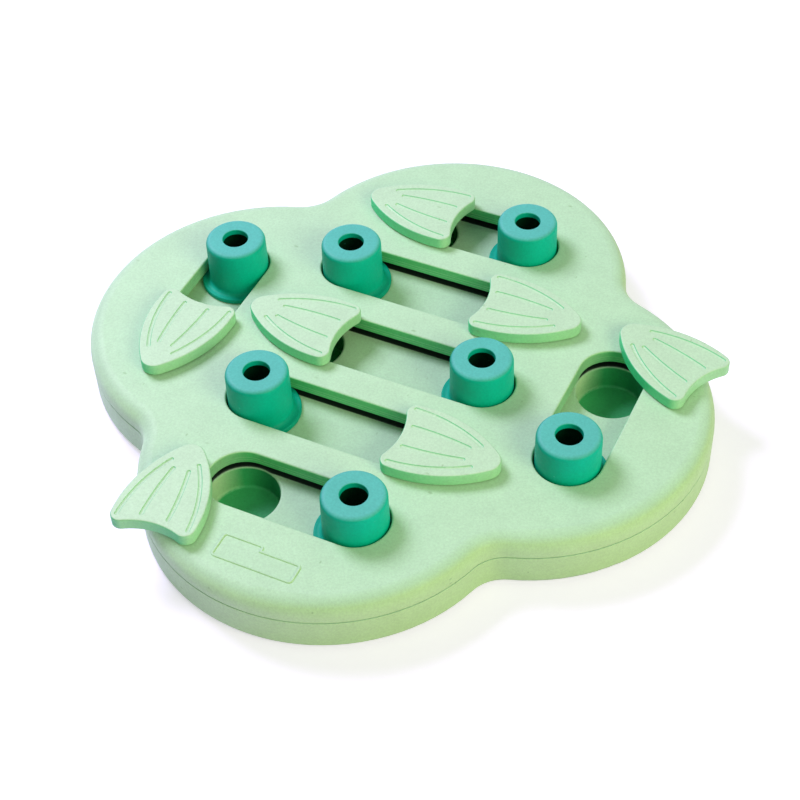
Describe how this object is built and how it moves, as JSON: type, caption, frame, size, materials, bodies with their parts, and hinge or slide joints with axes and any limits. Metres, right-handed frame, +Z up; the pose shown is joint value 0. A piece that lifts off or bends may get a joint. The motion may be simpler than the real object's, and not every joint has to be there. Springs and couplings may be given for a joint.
{
  "type": "dog puzzle feeder",
  "caption": "Clover-shaped dog puzzle feeder board with sliding knobs and swivelling fish-tail flippers over round treat wells.",
  "frame": {"origin": "middle of the board, on the floor it stands on", "axes": "+Z up, +X along the five middle rows, +Y towards the back row"},
  "size_m": [0.3334, 0.3334, 0.0485],
  "materials": {
    "board_composite": "matt mint green composite with fine wood-like flecks",
    "flipper_plastic": "matt pale mint green composite",
    "knob_plastic": "satin teal composite",
    "foot_rubber": "matt rubber",
    "screw_steel": "zinc-plated steel"
  },
  "bodies": {
    "board": {"bottom_shell": "board_composite", "well_tray": "board_composite", "top_cover": "board_composite", "case_screws": "screw_steel", "rubber_feet": "foot_rubber"},
    "slider_a": {"slider_a": "knob_plastic"},
    "slider_b": {"slider_b": "knob_plastic"},
    "slider_c": {"slider_c": "knob_plastic"},
    "slider_d": {"slider_d": "knob_plastic"},
    "slider_e": {"slider_e": "knob_plastic"},
    "slider_f": {"slider_f": "knob_plastic"},
    "slider_g": {"slider_g": "knob_plastic"},
    "flipper_a": {"flipper_a": "flipper_plastic", "pivot_washer_a": "screw_steel", "pivot_screw_a": "screw_steel"},
    "flipper_b": {"flipper_b": "flipper_plastic", "pivot_washer_b": "screw_steel", "pivot_screw_b": "screw_steel"},
    "flipper_c": {"flipper_c": "flipper_plastic", "pivot_washer_c": "screw_steel", "pivot_screw_c": "screw_steel"},
    "flipper_d": {"flipper_d": "flipper_plastic", "pivot_washer_d": "screw_steel", "pivot_screw_d": "screw_steel"},
    "flipper_e": {"flipper_e": "flipper_plastic", "pivot_washer_e": "screw_steel", "pivot_screw_e": "screw_steel"},
    "flipper_f": {"flipper_f": "flipper_plastic", "pivot_washer_f": "screw_steel", "pivot_screw_f": "screw_steel"},
    "flipper_g": {"flipper_g": "flipper_plastic", "pivot_washer_g": "screw_steel", "pivot_screw_g": "screw_steel"}
  },
  "joints": [
    {"name": "slider_a_slide", "type": "slide", "parent": "board", "child": "slider_a", "axis": [-1, 0, 0], "range_m": [0, 0.019]},
    {"name": "slider_b_slide", "type": "slide", "parent": "board", "child": "slider_b", "axis": [1, 0, 0], "range_m": [0, 0.0565]},
    {"name": "slider_c_slide", "type": "slide", "parent": "board", "child": "slider_c", "axis": [-1, 0, 0], "range_m": [0, 0.055]},
    {"name": "slider_d_slide", "type": "slide", "parent": "board", "child": "slider_d", "axis": [1, 0, 0], "range_m": [0, 0.0535]},
    {"name": "slider_e_slide", "type": "slide", "parent": "board", "child": "slider_e", "axis": [-1, 0, 0], "range_m": [0, 0.0555]},
    {"name": "slider_f_slide", "type": "slide", "parent": "board", "child": "slider_f", "axis": [0, -1, 0], "range_m": [0, 0.0195]},
    {"name": "slider_g_slide", "type": "slide", "parent": "board", "child": "slider_g", "axis": [0, 1, 0], "range_m": [0, 0.0485]},
    {"name": "flipper_a_swing", "type": "hinge", "parent": "board", "child": "flipper_a", "pos_m": [-0.0573, 0.1049, 0.0314], "axis": [0, 0, 1], "range_deg": [-30, 120]},
    {"name": "flipper_b_swing", "type": "hinge", "parent": "board", "child": "flipper_b", "pos_m": [0.076, 0.05245, 0.0314], "axis": [0, 0, -1], "range_deg": [-15, 100]},
    {"name": "flipper_c_swing", "type": "hinge", "parent": "board", "child": "flipper_c", "pos_m": [-0.076, 0, 0.0314], "axis": [0, 0, 1], "range_deg": [-16, 20]},
    {"name": "flipper_d_swing", "type": "hinge", "parent": "board", "child": "flipper_d", "pos_m": [0.076, -0.05245, 0.0314], "axis": [0, 0, 1], "range_deg": [-20, 120]},
    {"name": "flipper_e_swing", "type": "hinge", "parent": "board", "child": "flipper_e", "pos_m": [-0.0573, -0.1049, 0.0314], "axis": [0, 0, -1], "range_deg": [-83.5, 35]},
    {"name": "flipper_f_swing", "type": "hinge", "parent": "board", "child": "flipper_f", "pos_m": [-0.1074, -0.0573, 0.0314], "axis": [0, 0, 1], "range_deg": [-40, 120]},
    {"name": "flipper_g_swing", "type": "hinge", "parent": "board", "child": "flipper_g", "pos_m": [0.1074, 0.0573, 0.0314], "axis": [0, 0, 1], "range_deg": [-66.5, 60]}
  ]
}
